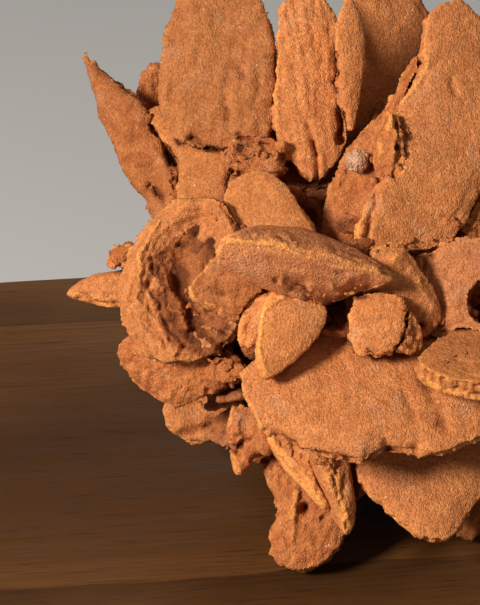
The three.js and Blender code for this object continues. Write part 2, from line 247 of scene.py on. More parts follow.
def lay_cross(axes, stretch):
    blade_cross.matrix_world = Matrix(axes).transposed().to_4x4() @ Matrix.Diagonal((*stretch, 1))
    bpy.context.view_layer.update()


# ------------------------------------------------------------ the plane of a blade


def blade_axes(node):
    """The axes of a blade: two in its plane, then the way that its broad face looks."""
    mesh = frame["nodes"][node].data
    normals = np.array([face.normal[:] for face in mesh.polygons])
    areas = np.array([face.area for face in mesh.polygons])
    alike = normals @ normals.T > math.cos(math.radians(22))
    best = np.argmax(alike @ areas)
    out = (normals[alike[best]] * areas[alike[best], None]).sum(axis=0)
    out /= np.linalg.norm(out)
    side = np.cross((0, 0, 1), out)
    if np.linalg.norm(side) < 0.1:
        side = np.cross((0, 1, 0), out)
    side /= np.linalg.norm(side)
    return np.array([side, np.cross(out, side), out])


def distance_to_some(points, chosen):
    """How far each point lies from the nearest of the chosen ones, in metres."""
    tree = KDTree(len(points))
    for index in np.flatnonzero(chosen):
        tree.insert(points[index], index)
    tree.balance()
    distance = np.zeros(len(points))
    for index in np.flatnonzero(~chosen):
        distance[index] = tree.find(points[index])[2]
    return distance


# ------------------------------------------------------------ the surface of a blade

# Millimetres: swell, slow waves of the face; lumps and grains, coarse and fine roughness; steps,
# height of the growth steps along the rim; tread, how wide each is; band, how far in they reach;
# chips, bites out of the rim; pits, depth of small holes; dish, how far the middle sinks; flutes,
# depth of the grooves
STYLES = {
    "smooth": dict(swell=0.6, lumps=0.10, grains=0.06, steps=0.10, tread=2.4, band=5, chips=0.5,
                   pits=0.12, dish=0, flutes=0.05),
    "sandy": dict(swell=0.8, lumps=0.18, grains=0.12, steps=0.25, tread=2.2, band=6, chips=0.9,
                  pits=0.3, dish=0, flutes=0.1),
    "layered": dict(swell=0.8, lumps=0.25, grains=0.2, steps=0.5, tread=2.8, band=11, chips=1.1,
                    pits=0.35, dish=0.5, flutes=0.15),
    "fluted": dict(swell=1.0, lumps=0.22, grains=0.18, steps=0.25, tread=2.5, band=6, chips=1.0,
                   pits=0.45, dish=0, flutes=0.6),
    "rough": dict(swell=1.2, lumps=0.6, grains=0.5, steps=0.35, tread=2.2, band=8, chips=1.4,
                  pits=0.8, dish=0, flutes=0.3),
    "rosette": dict(swell=0.7, lumps=0.3, grains=0.35, steps=0.6, tread=1.5, band=9, chips=0.8,
                    pits=0.5, dish=1.6, flutes=0.1),
}
OUTER_ROUGHER = 1.7  # the blades off the rose's face, which have no marks of their own
STYLE_OF_SLOT = {
    "sandy_crystal": "sandy",
    "ochre_crystal": "smooth",
    "rust_crystal": "rough",
    "rose_crystal": "layered",
}
STYLE_OF_NODE = {
    "left_rosette_blade": "rosette",
    "broad_upper_plate": "fluted",
    "upper_column_blade": "fluted",
    "upper_left_spear": "fluted",
    "great_upper_plate": "sandy",
    "front_lens_blade": "smooth",
    "right_thick_blade": "layered",
    "rounded_crystal": "sandy",
    "inner_crescent_blade": "smooth",
    "far_left_plate": "smooth",
}


# How light or dark a blade is beside the others of its finish: partly its stone's own colour,
# partly painted light and shade (lit blades lighter, shadowed ones darker)
TONE_AND_LIGHT_OF_NODE = {
    "broad_upper_plate": 0.74,
    "upper_left_spear": 0.82,
    "shoulder_plate": 0.88,
    "upper_round_blade": 0.94,
    "right_thick_blade": 0.88,
    "left_rosette_blade": 0.92,
    "shaded_plate": 0.80,
    "standing_plate": 1.12,
    "front_lens_blade": 1.10,
    "upper_column_blade": 1.04,
}


def growth_steps(points, depth, facing, style, offset):
    """The height of the terraces that follow the rim, in metres."""
    wander = depth / MM + 1.3 * field(points, 6 * MM, offset) + 0.4 * field(points, 2 * MM, offset)
    tread = wander / style["tread"]
    ledge = np.floor(tread) + ramp(tread - np.floor(tread), 0.6, 1.0) - tread + 0.5
    patch = np.clip(0.65 + 0.8 * field(points, 9 * MM, offset + 5), 0.1, 1)
    band = 1 - ramp(depth / MM, 0.6 * style["band"], style["band"])
    dish = style["dish"] * ramp(depth / MM, 2.5, 7.0)
    return (style["steps"] * ledge * patch * band - dish) * ramp(facing, 0.4, 0.8) * MM


# Marks worked into the blades one by one. Each has the blades that it is on, a depth (below 0 it
# is raised instead) and a width in millimetres, and a route: millimetres right and up of the
# point that the camera looks at, as the camera sees them
LEDGE = ("broad_upper_plate", "shoulder_plate", "rough_ledge_crystal")
COLUMN = ("upper_column_blade", "pointed_tongue_blade")
RIDGE = ("great_upper_plate", "ridge_blade")
POCKET = ("gritty_matrix", "crevice_crystal", "left_rosette_blade", "shaded_plate")
MARKS = [
    # The spear and the shoulder beside it
    (("upper_left_spear", "shoulder_plate"), 3.0, 1.8, [(-13.9, 29.7), (-14.6, 31)]),
    (("upper_left_spear",), 1.8, 1.0, [(-18.4, 24.4), (-16.6, 22)]),
    (("upper_left_spear",), 2.0, 1.0, [(-14.7, 19.1), (-13.1, 21.3)]),
    (("upper_left_spear",), 0.8, 1.0, [(-18.9, 26.5)]),
    (("upper_left_spear",), 0.7, 2.2, [(-21, 33), (-17, 27), (-16, 21)]),
    (LEDGE, 2.4, 1.0, [(-10.5, 34.5), (-6.8, 32.4), (-3.6, 31.5)]),
    (LEDGE, 2.0, 1.0, [(-1.7, 27.2)]),
    (LEDGE, 1.6, 0.9, [(-0.6, 34.5), (2, 33.7), (6, 33.2)]),
    (LEDGE, -0.7, 1.3, [(5.4, 36.7)]),
    (LEDGE, 0.6, 0.8, [(3.9, 49.6), (3.9, 45), (2.8, 39.5)]),
    (LEDGE, 0.8, 1.4, [(-2.8, 42), (-2, 39.8), (-2.5, 38)]),
    (LEDGE, 0.7, 1.0, [(-0.3, 48.5), (1, 47)]),
    # The column and its tongues
    (COLUMN, 1.2, 0.8, [(13.7, 36.8), (15.4, 32.6), (16.2, 30.4), (16.2, 25.4)]),
    (COLUMN, 1.2, 0.9, [(20.2, 52), (20.2, 45.2), (21.4, 39)]),
    (COLUMN, 3.0, 1.2, [(21.4, 39), (21, 33.8)]),
    # The great plate's crest and the broken ground beside it
    (RIDGE, -0.6, 1.1, [(39.4, 51), (36.8, 45.4), (34.9, 43), (32.4, 40.7), (31, 36.5)]),
    (RIDGE, 0.9, 1.1, [(30.6, 28.2), (29.4, 26.8)]),
    (RIDGE, -0.7, 1.5,
     [(31, 36.5), (29.6, 33.7), (26.7, 26.2), (25.4, 22.6), (24.5, 16.2), (23.2, 12)]),
    (RIDGE, 0.9, 1.1, [(30.2, 26.7), (27.9, 22.4), (28.3, 20), (26.8, 15.7), (26.2, 13.4)]),
    (RIDGE, 0.5, 1.2, [(43.6, 46.5), (45, 43.5)]),
    # The rosette: a broad crest round its left, a sunken middle, then furrows and a long lump
    (("left_rosette_blade",), -2.2, 5.0,
     [(-12, 20), (-18, 14.5), (-21.2, 8), (-22, 0), (-20, -6), (-15, -12)]),
    (("left_rosette_blade",), 4.4, 6.5, [(-11.5, 8), (-10.5, 2), (-8, -4), (-5, -8)]),
    (("left_rosette_blade",), 1.6, 5.0, [(-14.5, 5), (-13, -2), (-10, -8)]),
    (POCKET, -0.8, 0.9,
     [(-16.6, 17.2), (-20.8, 10.4), (-21.3, 0.5), (-16.6, -5.7), (-13.5, -10.4)]),
    (POCKET, 0.8, 0.8, [(-19.6, 2), (-19.2, -2.4), (-16.6, -6.6), (-14.2, -9.6)]),
    (POCKET, 0.7, 0.7, [(-22.4, 4), (-22.4, -2), (-19.8, -7), (-16.6, -10.8)]),
    (POCKET, 0.6, 0.7, [(-23.4, -1), (-21.4, -7), (-18.4, -11)]),
    (POCKET, 1.0, 1.1, [(-18.4, 9), (-18.6, 3.4), (-16.8, -1.4), (-14.4, -5.6), (-12, -9.4)]),
    (POCKET, -2.0, 1.6, [(-15.6, 5.8), (-13.6, 1), (-11.3, -4.5)]),
    (POCKET, 0.9, 1.0, [(-12.6, 12), (-9.5, 10.4), (-7.6, 11.4)]),
    (POCKET, 0.8, 0.7, [(-11.5, 14.5), (-9.5, 13.2), (-8.6, 14.6)]),
    (POCKET, 1.4, 1.0, [(-3.6, 20), (-0.9, 16.2), (0.4, 14.6)]),
    (POCKET, 4.0, 2.2, [(-2.6, -9.6)]),
    (("shaded_plate",), -0.5, 1.2,
     [(-3.7, 11.5), (-7.3, 7.8), (-11.2, 2.6), (-8.3, 0), (-4.2, -1.6)]),
    (("shaded_plate",), 1.2, 2.2, [(-5.4, 2.6), (-3.4, 1.4)]),
    (("shaded_plate",), 2.6, 3.4, [(-9.4, -3.2), (-6, -6.6), (-2.6, -8)]),
    # The front lens: its bevel and the bevel's crest, a crack, a hole and a broken underside
    (("front_lens_blade",), 1.1, 3.2, [(0, 17), (9, 16), (18, 13.4), (27, 9.8)]),
    (("front_lens_blade",), -0.4, 0.7,
     [(-3.3, 13.4), (3, 12.6), (9.8, 11.6), (13.3, 9.6), (19.1, 7.8), (25, 7.2), (31, 7)]),
    (("front_lens_blade",), 0.7, 0.5, [(20, 6.6), (22.5, 6.2)]),
    (("front_lens_blade",), 1.6, 1.2, [(7.9, 4.5)]),
    (("front_lens_blade",), 2.2, 3.1, [(11.5, 3.6), (15.5, 1.6), (20, 0.6), (26, 3.4)]),
    (("front_lens_blade",), 0.5, 2.2, [(14.5, -0.4), (20, -1), (25, 0.8), (28.5, 3.2)]),
    (("front_lens_blade",), -0.9, 0.9, [(15, 3.4), (16.2, 1.8)]),
    (("front_lens_blade",), -0.9, 0.9, [(19, 3.6), (20.6, 1.8)]),
    # The standing plate's rim, the crescents and the pocket plate
    (("standing_plate",), -0.3, 1.0, [(11.6, 3.4), (4.6, -1.8), (3.8, -9), (5.4, -14.8)]),
    (("outer_crescent_blade",), -1.0, 2.8, [(32.6, 8.8)]),
    (("outer_crescent_blade",), -0.4, 1.1, [(36.6, 4.5), (40.6, -0.9), (38.9, -5.4)]),
    (("outer_crescent_blade", "right_pocket_plate"), 2.4, 1.3, [(37.9, -4.7)]),
    (("right_pocket_plate",), 1.4, 1.0, [(42.6, -6.3), (46.2, -8.2)]),
    (("right_pocket_plate",), 1.0, 0.8, [(41, 10.5), (38.6, 9), (38, 7)]),
    # The fan's creases, its scalloped bevel and a recess
    (("wide_fan_plate",), 0.5, 1.7, [(33.7, -15.7), (35.8, -22.4), (37.9, -29.9)]),
    (("wide_fan_plate",), 0.8, 2.6, [(38.5, -15), (42.6, -26)]),
    (("wide_fan_plate",), 0.9, 1.9,
     [(6, -26.4), (14.5, -30.4), (20.8, -31.6), (25.2, -32.6), (28.9, -30.6), (36.2, -31)]),
    (("wide_fan_plate",), 1.2, 1.8, [(30.7, -29.2)]),
    (("right_thick_blade",), -0.5, 1.1, [(37.9, -15.7), (43.7, -18.6), (50, -20.3)]),
    # The lower blades
    (("lower_left_plate",), -0.8, 1.4, [(11.6, -38), (11.2, -43), (11, -49)]),
    (("lower_left_plate",), 2.2, 1.8, [(13.8, -43)]),
    (("lower_left_plate",), 1.7, 1.3, [(17.3, -45)]),
    (("left_dagger_blade",), -0.8, 1.5, [(5.2, -27), (12.4, -35), (18.3, -44)]),
    (("right_dagger_blade",), -0.5, 1.4, [(18.9, -32), (20.8, -39), (22.7, -48.2)]),
    (("hanging_point_blade",), 0.9, 0.8, [(-2.1, -30.5), (0.6, -29.6), (2.7, -28.2)]),
    (("left_fringe_blade",), -0.5, 1.3, [(-14.5, -14.5), (-14.8, -20.3)]),
    (("far_left_plate",), 1.5, 1.5, [(-11.4, -27.2), (-7.5, -25.6), (-2, -24.6)]),
]


# Millimetres: marks wider than BROAD_MARK bend the whole thickness of the blade and don't waver,
# and of those only the ones deeper than DEEP_MARK get painted shade
BROAD_MARK = 2.9
DEEP_MARK = 1.5
# How strongly the marks' painted shade and painted highlight are laid on
MARK_SHADING_PAINT = 0.8


def as_seen(points):
    """Where the camera sees points: millimetres right and up of the point it looks at."""
    away = points - np.array(CAMERA_PLACE)
    scale = VIEW_DISTANCE / MM / -(away @ np.array(FACE_OUT))
    return np.stack([away @ np.array(FACE_RIGHT) * scale, away @ np.array(FACE_UP) * scale], 1)


def distance_to_route(spots, route):
    nearest = np.full(len(spots), np.inf)
    for start, end in zip(route, route[1:] or route):
        line = np.subtract(end, start)
        part = np.clip((spots - start) @ line / max(line @ line, 1e-9), 0, 1)
        nearest = np.minimum(nearest, np.linalg.norm(spots - start - part[:, None] * line, axis=1))
    return nearest


def work_marks(piece, node):
    """Carves and raises the marks of this blade, and paints light on them: painted shade above 0
    where cut in, painted highlight below 0 where raised.
    """
    points = points_of(piece)
    painted = np.zeros(len(points))
    marks = [mark for mark in MARKS if node in mark[0]]
    if marks:
        spots = as_seen(points)
        facing = ramp(normals_of(piece) @ np.array(FACE_OUT), -0.1, 0.4)
        shake = 0.8 * np.stack([field(points, 3.0 * MM, 3.1), field(points, 3.0 * MM, 8.7)], 1)
        shake += 0.35 * np.stack([field(points, 0.9 * MM, 5.3), field(points, 0.9 * MM, 1.9)], 1)
        strength = np.clip(1 + 0.9 * field(points, 3.0 * MM, 6.1), 0.5, 1.4)
        for _, depth, width, route in marks:
            weight = 1 - ramp(distance_to_route(spots + shake, route), 0, width)
            if width < BROAD_MARK:
                weight *= facing * strength
            points -= (depth * MM * weight)[:, None] * np.array(FACE_OUT)
            # The painted shade of cut marks and the painted highlight of raised ones
            if width < BROAD_MARK or depth > DEEP_MARK:
                painted += weight * np.clip(depth, -0.6, 1) * MARK_SHADING_PAINT
        set_points(piece, points)
    paint(piece, "mark_shade_and_highlight", np.clip(painted, -1, 1))


# How far a blade's chips and layers reach in from its rim, and how wide its painted highlight is
# from the crease
RIM_REACH = 2.2 * MM
RIM_HIGHLIGHT_WIDTH = 1.2 * MM


def build_blade(node, place):
    """A blade of the rose: remeshed finely, swollen to close the gaps, then weathered."""
    piece = copy_node(node, node + "_stone")
    remesh(piece, FACE_VOXEL if is_display(node) else OUTER_VOXEL)
    apply_modifier(piece, "SMOOTH", factor=0.5, iterations=2)
    apply_modifier(piece, "DISPLACE", strength=GAP_FILL, mid_level=0)

    style = dict(STYLES[STYLE_OF_NODE.get(node) or STYLE_OF_SLOT[SLOT_OF[node]]])
    if not is_display(node):
        for kind in ("swell", "lumps", "steps", "chips"):
            style[kind] *= OUTER_ROUGHER
    axes = blade_axes(node)
    points = points_of(piece)
    normals = normals_of(piece)
    facing = np.abs(normals @ axes[2])
    depth = distance_to_some(points, facing < 0.3)
    crest = np.maximum(depth, distance_to_some(points, facing > 0.55))
    near_rim = np.exp(-depth / RIM_REACH)
    weigh(piece, "rim", near_rim)
    weigh(piece, "edge", (1 - ramp(facing, 0.3, 0.7)) * near_rim)
    weigh(piece, "face", ramp(facing, 0.3, 0.8))
    weigh(piece, "cracked", ramp(field(points, 13 * MM, place + 40.5), 0.0, 0.35))
    weigh(piece, "pitted", ramp(field(points, 10 * MM, place + 20.5), -0.1, 0.3))
    steps = growth_steps(points, depth, facing, style, place)
    set_points(piece, points + normals * steps[:, None])
    # Painted highlight: a bright line along the crease of each rim, where light catches it
    paint(piece, "painted_rim_highlight", np.exp(-crest / RIM_HIGHLIGHT_WIDTH))
    # Each blade's lightness: partly its own colour, partly painted light and shade
    paint(piece, "tone_and_painted_light", np.full(len(points), TONE_AND_LIGHT_OF_NODE.get(node, 1.0)))

    displace(piece, SWELL, style["swell"] * MM, "face")
    displace(piece, CHIPS, 1.3 * style["chips"] * MM, "edge")
    displace(piece, CHIPS, 0.3 * style["chips"] * MM, "rim")
    lay_cross(axes, (7 * MM, 7 * MM, 0.55 * MM))
    displace(piece, LAYERS, 0.35 * MM, "edge", along=blade_cross)
    lay_cross(axes, (1.7 * MM, 9 * MM, 4 * MM))
    displace(piece, FLUTES, style["flutes"] * MM, "face", along=blade_cross)
    displace(piece, LUMPS, style["lumps"] * MM)
    displace(piece, GRAINS, style["grains"] * MM, "face")
    displace(piece, PITS, style["pits"] * MM, "pitted", middle=1)
    displace(piece, CRACKS, 0.8 * style["lumps"] * MM, "cracked", middle=1)
    piece.vertex_groups.clear()
    work_marks(piece, node)
    return piece


# The rose's face: the blades whose middles lie out of and left of these, from the heart
FACE_BACK = -4 * MM
FACE_SIDE = 30 * MM


def is_display(node):
    """Whether a blade is on the rose's face, rather than on its back, sides or foot."""
    low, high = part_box(node)
    middle = (Vector(low) + Vector(high)) / 2 - HEART
    return middle.dot(FACE_OUT) > FACE_BACK and middle.dot(FACE_RIGHT) < FACE_SIDE


def build_matrix(node):
    """The gritty mass between the blades."""
    piece = copy_node(node, node + "_stone")
    remesh(piece, MATRIX_VOXEL)
    apply_modifier(piece, "SMOOTH", factor=0.5, iterations=4)
    displace(piece, SWELL, 3 * MM, middle=0.6)
    displace(piece, CHIPS, 2.4 * MM, middle=0.6)
    displace(piece, LUMPS, 1.6 * MM)
    displace(piece, GRAINS, 0.7 * MM)
    displace(piece, PITS, 1.2 * MM, middle=1)
    paint_plain(piece, "painted_rim_highlight")
    work_marks(piece, node)
    return piece


def build_pebble(node):
    piece = copy_node(node, node + "_stone")
    apply_modifier(piece, "SUBSURF", levels=3, render_levels=3)
    displace(piece, LUMPS, 0.8 * MM, middle=0.4)
    displace(piece, GRAINS, 0.5 * MM)
    paint_plain(piece, "painted_rim_highlight")
    return piece


# ------------------------------------------------------------ how deep each point lies, for painted crevice shade


def whole_tree():
    """All the CAD solids together, for rays."""
    corners = []
    faces = []
    for node in frame["nodes"].values():
        start = len(corners)
        corners += [vertex.co[:] for vertex in node.data.vertices]
        faces += [[start + k for k in face.vertices] for face in node.data.polygons]
    return BVHTree.FromPolygons(corners, faces)


def spread_directions(count):
    """Directions spread evenly over a ball."""
    k = np.arange(count) + 0.5
    height = 1 - 2 * k / count
    turn = math.pi * (1 + 5**0.5) * k
    level = np.sqrt(1 - height**2)
    return np.stack([level * np.cos(turn), level * np.sin(turn), height], 1)


SOLIDS = whole_tree()
RAYS = [Vector(ray) for ray in spread_directions(36)]
RAY_REACH = 28 * MM
RAY_LIFT = 1.2 * MM  # the rays start this far off the surface


def closed_in(point, normal):
    """How closed in a point on the rose is: 0 in the open, 1 in a deep crevice."""
    start = point + normal * RAY_LIFT
    open_sky = 0.0
    total = 0.0
    for ray in RAYS:
        slant = ray.dot(normal)
        if slant > 0.05:
            total += slant
            hit = SOLIDS.ray_cast(start, ray, RAY_REACH)[3]
            open_sky += slant * (1 if hit is None else (hit / RAY_REACH) ** 0.7)
    return 1 - open_sky / total


def paint_crevice_shade(pieces):
    """Paints how closed in each point is, as painted shade for the crevices, worked out at some
    points and passed on from them.
    """
    every = 14
    for piece in pieces:
        points = points_of(piece)
        normals = normals_of(piece)
        spots = KDTree(len(points) // every + 1)
        shades = []
        for index in range(0, len(points), every):
            spots.insert(points[index], len(shades))
            shades.append(closed_in(Vector(points[index]), Vector(normals[index])))
        spots.balance()
        near = [[k for _, k, _ in spots.find_n(point, 3)] for point in points]
        paint(piece, "hollow", np.array(shades)[np.array(near)].mean(axis=1))


# ------------------------------------------------------------ crust and crumbs


def scatter(seed_piece, places, name, voxel):
    """Copies of a small shape at the given matrices, joined and fused into one rough piece."""
    select_only(seed_piece)
    seed_piece.matrix_world = places[0]
    for place in places[1:]:
        copy = seed_piece.copy()
        copy.data = seed_piece.data.copy()
        bpy.context.scene.collection.objects.link(copy)
        copy.matrix_world = place
        copy.select_set(True)
    bpy.ops.object.join()
    piece = bpy.context.object
    piece.name = name
    bpy.ops.object.transform_apply()
    remesh(piece, voxel)
    displace(piece, CHIPS, 0.7 * MM)
    displace(piece, LUMPS, 0.6 * MM)
    paint_plain(piece, "painted_rim_highlight", "mark_shade_and_highlight")
    return piece


def small_blade():
    """One small crystal: a flat eight-sided lens, its sides drawn in to an edge."""
    bpy.ops.object.select_all(action="DESELECT")
    bpy.ops.mesh.primitive_uv_sphere_add(segments=8, ring_count=6, radius=1)
    piece = bpy.context.object
    bpy.ops.object.mode_set(mode="EDIT")
    bpy.ops.transform.resize(value=(1, 0.8, 0.2))
    bpy.ops.object.mode_set(mode="OBJECT")
    return piece


def standing(point, out, size, spin, lean):
    """A matrix that stands a small blade on its edge at a point, looking any way round."""
    side = Vector((math.sin(spin), math.cos(spin), lean)).cross(out).normalized()
    turn = Matrix((out, side.cross(out), side)).transposed()
    return Matrix.Translation(point) @ turn.to_4x4() @ Matrix.Diagonal((size, size, size, 1))


# The crust's crystals: how far they look for room, how much they need, and how far apart they are
CRUST_SEARCH = 40 * MM
CRUST_ROOM = 9 * MM
CRUST_APART = 4.5 * MM

# Crystals that close the back of the deep hollow: right, up and out from the heart, and size
HOLLOW_BACKING = [
    (-27, 27, -6, 12), (-19, 30, -10, 12), (-10, 29, -8, 12), (-14, 37, -14, 13),
    (-24, 38, -14, 12), (-5, 36, -14, 12), (-39, 23, -5, 11), (-33, -5, 11, 9),
]


def build_crust():
    """Small crystals standing on the matrix wherever no big blade covers it."""
    random.seed(5)
    faces = list(frame["nodes"]["gritty_matrix"].data.polygons)
    random.shuffle(faces)
    spots = []
    places = []
    for face in faces:
        out = Vector(face.normal)
        point = Vector(face.center)
        room = SOLIDS.ray_cast(point + out * 0.5 * MM, out, CRUST_SEARCH)[3] or CRUST_SEARCH
        if room < CRUST_ROOM or any((point - spot).length < CRUST_APART for spot in spots):
            continue
        spots.append(point)
        size = min(room / 3, random.uniform(5, 9) * MM)
        spin = random.uniform(0, math.pi)
        places.append(standing(point, out, size, spin, random.uniform(-0.5, 0.5)))
    for right, up, out, size in HOLLOW_BACKING:
        point = HEART + (right * FACE_RIGHT + up * FACE_UP + out * FACE_OUT) * MM
        places.append(standing(point, FACE_UP, size * MM, random.uniform(0, math.pi), 0.3))
    return scatter(small_blade(), places, "matrix_crust", CRUST_VOXEL)


# Where crumbs bridge two blades: their size in millimetres, and a route as for the marks above
JUNCTIONS = [
    (1.3, [(22, -9), (28, -10.8), (34, -10)]),
    (0.6, [(5.5, -14.5), (12, -10), (17.5, -3)]),
    (1.7, [(-9.5, -1), (-7.5, -5), (-4.5, -7), (-2, -5.4)]),
    (1.3, [(-10, -6.5), (-7, -8.6), (-5, -8.8)]),
    (1.5, [(-7.5, -11.5), (-4, -12), (0, -13.5)]),
    (1.2, [(-3, 29), (3, 31), (9, 30)]),
    (1.2, [(23, 12), (30, 11.5), (38, 12.5), (45, 13)]),
    (1.6, [(44, 18), (47, 15), (50, 19)]),
    (1.0, [(14, 2), (20, 0.5), (26, 3)]),
    (1.0, [(38, -14), (43, -12), (49, -9.5)]),
    (1.1, [(36, -7), (34, -9), (31, -10)]),
    (1.2, [(8, -29), (13, -32.5), (20, -34)]),
    (1.3, [(-12, -17), (-7, -21), (-2, -24)]),
    (0.8, [(-6, 18.5), (-2, 16)]),
    (1.0, [(33.8, 40), (34.6, 35), (34.2, 29.6), (31.5, 27)]),
    (1.0, [(34.6, -1.6), (35.2, -5), (34, -8.8)]),
    (1.1, [(-14, 21), (-13.6, 25), (-15, 29)]),
]

# The other crumbs: one is tried for so many vertices of a blade, where it is so closed in
CRUMB_EVERY = 260
CRUMB_CLOSED = (0.52, 0.86)


def spot_on_rose(right, up):
    """The point of the CAD solids that the camera sees at this place."""
    way = LOOK_AT + (right * FACE_RIGHT + up * FACE_UP) * MM - CAMERA_PLACE
    return SOLIDS.ray_cast(CAMERA_PLACE, way.normalized())[0]


def crumb_place(point, size):
    turn = Matrix.Rotation(random.uniform(0, 6), 4, Vector((random.random(), 1, random.random())))
    return Matrix.Translation(point) @ turn @ Matrix.Diagonal((size, size * 0.8, size * 0.6, 1))


def build_crumbs(pieces):
    """Crumbs and knobs of cemented sand, lodged in the crevices between the blades."""
    random.seed(9)
    places = []
    for size, route in JUNCTIONS:
        for (right, up), (next_right, next_up) in zip(route, route[1:]):
            count = max(2, round(math.hypot(next_right - right, next_up - up) / (0.8 * size)))
            for step in range(count):
                part = step / count
                spot = spot_on_rose(
                    right + part * (next_right - right) + random.gauss(0, 0.5 * size),
                    up + part * (next_up - up) + random.gauss(0, 0.5 * size),
                )
                if spot:
                    grown = random.uniform(0.5, 1.0) * size * MM
                    places.append(crumb_place(spot + 0.35 * grown * FACE_OUT, grown))
    for piece in pieces:
        vertices = piece.data.vertices
        for _ in range(len(vertices) // CRUMB_EVERY):
            vertex = vertices[random.randrange(len(vertices))]
            size = random.uniform(0.5, 1.0) ** 2 * 2.6 * MM
            closed = closed_in(vertex.co, vertex.normal)
            if not CRUMB_CLOSED[0] < closed < CRUMB_CLOSED[1]:
                continue
            places.append(crumb_place(vertex.co - vertex.normal * size * 0.3, size))
    bpy.ops.object.select_all(action="DESELECT")
    bpy.ops.mesh.primitive_ico_sphere_add(subdivisions=1, radius=1)
    return scatter(bpy.context.object, places, "crevice_crumbs", CRUMB_VOXEL)


# ------------------------------------------------------------ the slab


def build_slab(node):
    """The board: its grain raised and its edges worn, all sunk inwards from the plain block."""
    piece = copy_node(node, "wooden_slab_board")
    remesh(piece, WOOD_VOXEL)
    weigh(piece, "worn", (points_of(piece)[:, 2] > SLAB_LOW[2] + 1 * MM).astype(float))
    lay_cross(np.eye(3), (80 * MM, 5 * MM, 12 * MM))
    displace(piece, clouds("raised_grain", 1, 2, 1.0), 0.5 * MM, "worn", blade_cross, middle=1)
    displace(piece, clouds("wear", 22 * MM, 3, 1.0), 0.6 * MM, "worn", middle=1)
    return piece


# ------------------------------------------------------------ shader maths


class Wire:
    """A shader socket that adds Math nodes when Python maths is done on it."""

    def __init__(self, board, socket):
        self.board = board
        self.socket = socket

    def maths(self, operation, first, second):
        inputs = {0: first, 1: second}
        return self.board.node("ShaderNodeMath", {"operation": operation}, inputs)

    def __add__(self, other):
        return self.maths("ADD", self, other)

    def __sub__(self, other):
        return self.maths("SUBTRACT", self, other)

    def __rsub__(self, other):
        return self.maths("SUBTRACT", other, self)

    def __mul__(self, other):
        return self.maths("MULTIPLY", self, other)

    __radd__ = __add__
    __rmul__ = __mul__


class Board:
    """The node tree of one new material."""

    def __init__(self, name):
        self.material = bpy.data.materials.new(name)
        self.material.use_nodes = True
        self.tree = self.material.node_tree
        self.tree.nodes.clear()

    def node(self, kind, settings=None, inputs=None, output=0):
        made = self.tree.nodes.new(kind)
        for name, value in (settings or {}).items():
            setattr(made, name, value)
        for key, value in (inputs or {}).items():
            if isinstance(value, Wire):
                self.tree.links.new(value.socket, made.inputs[key])
            else:
                made.inputs[key].default_value = value
        return Wire(self, made.outputs[output]) if made.outputs else made

    def place(self, stretch=(1, 1, 1)):
        spot = self.node("ShaderNodeTexCoord", output=3)
        return self.node("ShaderNodeMapping", {}, {"Vector": spot, "Scale": stretch})

    def noise(self, size, detail=3.0, roughness=0.55, distortion=0.0, stretch=(1, 1, 1)):
        """Noise whose lumps are about size across, in metres."""
        inputs = {"Vector": self.place(stretch), "Scale": 1 / size, "Detail": detail}
        inputs |= {"Roughness": roughness, "Distortion": distortion}
        return self.node("ShaderNodeTexNoise", {}, inputs)

    def attribute(self, name):
        return self.node("ShaderNodeAttribute", {"attribute_name": name}, output=2)

    def between(self, value, low, high, out_low=0.0, out_high=1.0):
        """Takes value's stretch from low to high smoothly to out_low to out_high."""
        settings = {"interpolation_type": "SMOOTHSTEP"}
        inputs = {0: value, 1: low, 2: high, 3: out_low, 4: out_high}
        return self.node("ShaderNodeMapRange", settings, inputs)

    def blend(self, part, first, second, blend_type="MIX"):
        settings = {"data_type": "RGBA", "blend_type": blend_type}
        return self.node("ShaderNodeMix", settings, {0: part, 6: first, 7: second}, output=2)

    def scaled(self, colour, amount):
        settings = {"operation": "SCALE"}
        return self.node("ShaderNodeVectorMath", settings, {0: colour, "Scale": amount})

    def bump(self, height, distance, strength=1.0):
        inputs = {"Strength": strength, "Distance": distance, "Height": height}
        return self.node("ShaderNodeBump", {}, inputs)

    def finish(self, inputs):
        surface = self.node("ShaderNodeBsdfPrincipled", {}, inputs)
        self.node("ShaderNodeOutputMaterial", {}, {"Surface": surface})
        return self.material


def rgb(red, green, blue):
    return (red, green, blue, 1.0)


# ------------------------------------------------------------ the finishes

DUST = rgb(0.56, 0.29, 0.155)
# Painted highlight: the colour of lit rims and raised marks
RIM_HIGHLIGHT_ORANGE = rgb(0.84, 0.335, 0.085)
# Painted shade: rust-brown and near-black colours laid into crevices and cut marks, where shade
# falls
PAINTED_SHADE = rgb(0.26, 0.072, 0.020)
DEEP_PAINTED_SHADE = rgb(0.060, 0.014, 0.006)
# Painted glint: the colour of small sparkles of light on a few grains
PAINTED_GLINT = rgb(0.90, 0.74, 0.56)
SAND_GRAIN = 0.35 * MM


